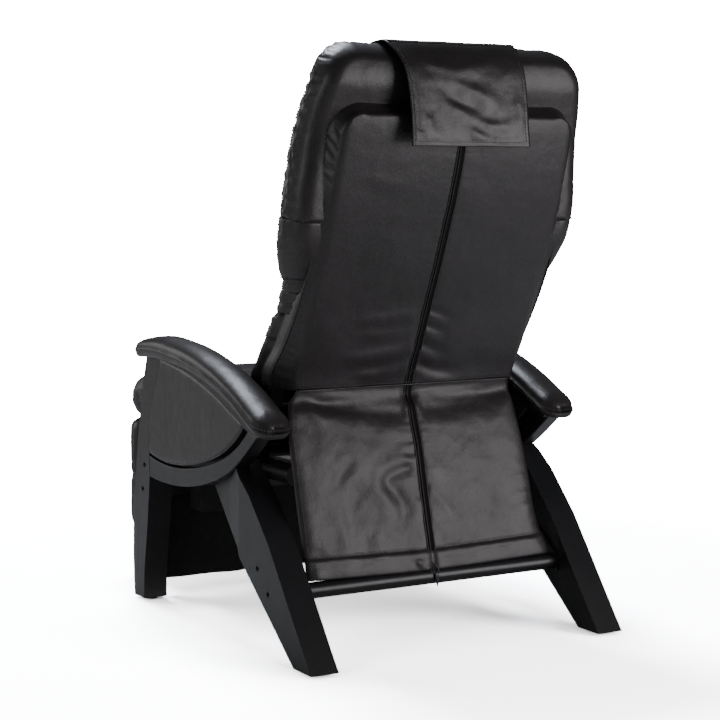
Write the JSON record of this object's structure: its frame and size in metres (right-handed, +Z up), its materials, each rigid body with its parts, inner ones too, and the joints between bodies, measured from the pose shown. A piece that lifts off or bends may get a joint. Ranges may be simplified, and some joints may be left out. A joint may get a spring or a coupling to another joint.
{
  "type": "zero gravity recliner",
  "caption": "Upholstered power recliner on a bent wooden side frame, with a hinged back, tilting seat, lifting leg rest and a head pillow on a counterweight flap.",
  "frame": {"origin": "on the floor under the middle of the chair's box", "axes": "+Z up, -Y towards the sitter's feet, +X to the left of the chair seen from the front of a sitter facing -Y"},
  "size_m": [0.73, 0.9641, 1.137],
  "materials": {
    "upholstery_leather": "soft pebbled leatherette, satin",
    "frame_wood": "satin black lacquer",
    "plywood": "raw plywood",
    "frame_steel": "satin black powder coat",
    "screw_steel": "black oxide",
    "bright_steel": "ground",
    "black_plastic": "matt moulded",
    "actuator_aluminium": "satin anodised",
    "webbing": "woven elastic webbing",
    "dust_cloth": "plain woven black cloth",
    "zip_tape": "woven zip tape with nylon coil"
  },
  "bodies": {
    "root": {"front_leg_l": "frame_wood", "front_leg_r": "frame_wood", "rear_leg_l": "frame_wood", "rear_leg_r": "frame_wood", "arm_rail_l": "frame_wood", "arm_rail_r": "frame_wood", "arm_board_l": "frame_wood", "arm_board_r": "frame_wood", "arm_pad_l": "upholstery_leather", "arm_pad_r": "upholstery_leather", "side_panel_l": "plywood", "side_panel_r": "plywood", "side_pads_l": "upholstery_leather", "side_pads_r": "upholstery_leather", "leg_bolts": "screw_steel", "glides": "black_plastic", "front_crossbar": "frame_steel", "rear_crossbar": "frame_steel", "crossbar_end_plates": "frame_steel", "pivot_brackets": "frame_steel", "pivot_pins": "bright_steel", "pivot_spacers": "black_plastic", "front_valance": "dust_cloth", "control_box": "black_plastic", "power_inlet": "black_plastic", "recline_housing": "actuator_aluminium", "recline_mount": "frame_steel", "recline_motor": "black_plastic"},
    "seat": {"seat_rails": "frame_steel", "seat_cross_tubes": "frame_steel", "seat_pivot_plates": "frame_steel", "legrest_hinge_arms": "frame_steel", "legrest_hinge_pins": "bright_steel", "seat_straps": "webbing", "seat_cushion": "upholstery_leather", "legrest_housing": "actuator_aluminium", "legrest_actuator_hanger": "frame_steel", "legrest_motor": "black_plastic"},
    "legrest": {"legrest_hinge_tube": "frame_steel", "legrest_board": "plywood", "legrest_lever": "frame_steel", "legrest_pad": "upholstery_leather"},
    "backrest": {"back_rails": "frame_steel", "back_cross_tubes": "frame_steel", "back_pivot_plates": "frame_steel", "recline_lever": "frame_steel", "back_straps": "webbing", "lumbar_cushion": "upholstery_leather", "back_cushion": "upholstery_leather", "shoulder_cushion": "upholstery_leather", "rear_panel": "upholstery_leather", "rear_zipper": "zip_tape", "apron": "upholstery_leather", "pillow_strap": "upholstery_leather"},
    "pillow": {"head_pillow": "upholstery_leather"},
    "flap": {"head_flap": "upholstery_leather"},
    "recline_actuator_rod": {"recline_rod": "bright_steel"},
    "legrest_actuator_rod": {"legrest_rod": "bright_steel"}
  },
  "joints": [
    {"name": "recline", "type": "hinge", "parent": "root", "child": "backrest", "pos_m": [0, 0.12, 0.4], "axis": [-1, 0, 0], "range_deg": [0, 40], "deforming": ["apron"]},
    {"name": "seat_tilt", "type": "hinge", "parent": "root", "child": "seat", "pos_m": [0, 0.12, 0.4], "axis": [-1, 0, 0], "range_deg": [0, 12]},
    {"name": "legrest_lift", "type": "hinge", "parent": "seat", "child": "legrest", "pos_m": [0, -0.441, 0.322], "axis": [-1, 0, 0], "range_deg": [0, 80]},
    {"name": "recline_rod_travel", "type": "slide", "parent": "root", "child": "recline_actuator_rod", "axis": [0, -1, 0], "range_m": [0, 0.07299]},
    {"name": "legrest_rod_travel", "type": "slide", "parent": "seat", "child": "legrest_actuator_rod", "axis": [0, -1, 0], "range_m": [0, 0.0774]},
    {"name": "pillow_height", "type": "slide", "parent": "backrest", "child": "pillow", "axis": [0, 0.2425, 0.9701], "range_m": [-0.04, 0.04]},
    {"name": "flap_height", "type": "slide", "parent": "backrest", "child": "flap", "axis": [0, -0.1194, 0.9928], "range_m": [-0.04, 0.04]}
  ],
  "couplings": [
    {"joint": "seat_tilt", "follows": "recline", "ratio": 0.3},
    {"joint": "recline_rod_travel", "follows": "recline", "m_per_rad": 0.10426},
    {"joint": "legrest_rod_travel", "follows": "legrest_lift", "m_per_rad": 0.05529},
    {"joint": "flap_height", "follows": "pillow_height", "ratio": -1}
  ]
}
